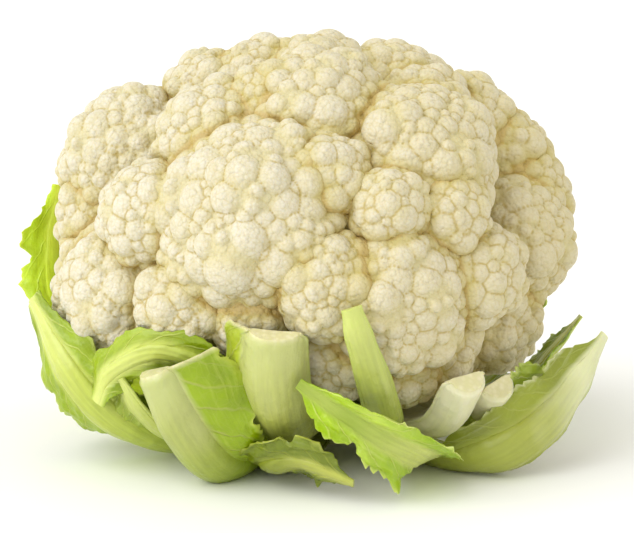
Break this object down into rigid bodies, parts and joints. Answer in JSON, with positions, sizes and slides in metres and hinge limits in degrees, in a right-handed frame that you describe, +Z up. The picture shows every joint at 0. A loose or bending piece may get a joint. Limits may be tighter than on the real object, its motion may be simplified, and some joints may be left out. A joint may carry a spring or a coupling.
{
  "type": "cauliflower",
  "caption": "Whole trimmed cauliflower: a domed head of tight creamy florets on a short cut stalk, ringed by cut leaf stubs and ragged green leaves.",
  "frame": {"origin": "middle of the stalk's cut face, which rests on the table", "axes": "+Z up through the stalk, front along -Y, +X to the right seen from the front"},
  "size_m": [0.2129, 0.1948, 0.1485],
  "materials": {
    "curd": "creamy white curd, matt and finely grained, yellower in the creases",
    "stalk": "pale green stalk skin, with a drier cream-coloured cut face",
    "petiole": "pale waxy green to white leaf stub, cut across its end",
    "blade": "bright yellow-green leaf, soft satin, with paler ribs and veins"
  },
  "bodies": {
    "root": {"curd": "curd", "stalk": "stalk", "leaf_front_left_petiole": "petiole", "leaf_front_petiole": "petiole", "leaf_front_low": "blade", "leaf_front_right_flap": "blade", "leaf_front_sliver": "blade", "leaf_front_left_fold": "blade", "leaf_left_strip": "blade", "leaf_left": "blade", "leaf_left_lobe": "blade", "leaf_left_tall": "blade", "leaf_right_stub_front": "petiole", "leaf_right_stub": "petiole", "leaf_right": "blade", "leaf_right_frill": "blade", "leaf_right_thin": "blade", "leaf_back_1": "blade", "leaf_back_2": "petiole", "leaf_back_3": "blade", "leaf_back_4": "petiole", "leaf_back_5": "blade"}
  },
  "joints": []
}
